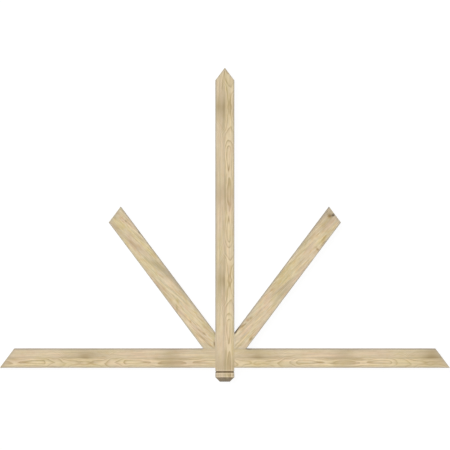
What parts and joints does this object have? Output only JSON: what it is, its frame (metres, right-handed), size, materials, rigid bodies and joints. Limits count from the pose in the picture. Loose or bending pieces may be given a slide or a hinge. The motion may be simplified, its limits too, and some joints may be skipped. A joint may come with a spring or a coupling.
{
  "type": "timber gable bracket",
  "caption": "Open gable bracket of square timber: a king post halved over a bottom chord, with struts rising from the crossing to the rafter lines and a grooved, chamfered tail.",
  "frame": {"origin": "where the centrelines of the king post and the bottom chord cross, on the back face", "axes": "lying on its back: +X along the bottom chord, +Y up the king post to the peak, +Z out of the front face"},
  "size_m": [2.1336, 1.4889, 0.09],
  "materials": {
    "post_timber": "planed softwood, bare, straight and cathedral grain, eased long edges",
    "chord_timber": "planed softwood, bare, straight and cathedral grain, eased long edges",
    "strut_timber": "planed softwood, bare, straight and cathedral grain, eased long edges"
  },
  "bodies": {
    "root": {"king_post": "post_timber", "bottom_chord": "chord_timber", "strut_left": "strut_timber", "strut_right": "strut_timber"}
  },
  "joints": []
}
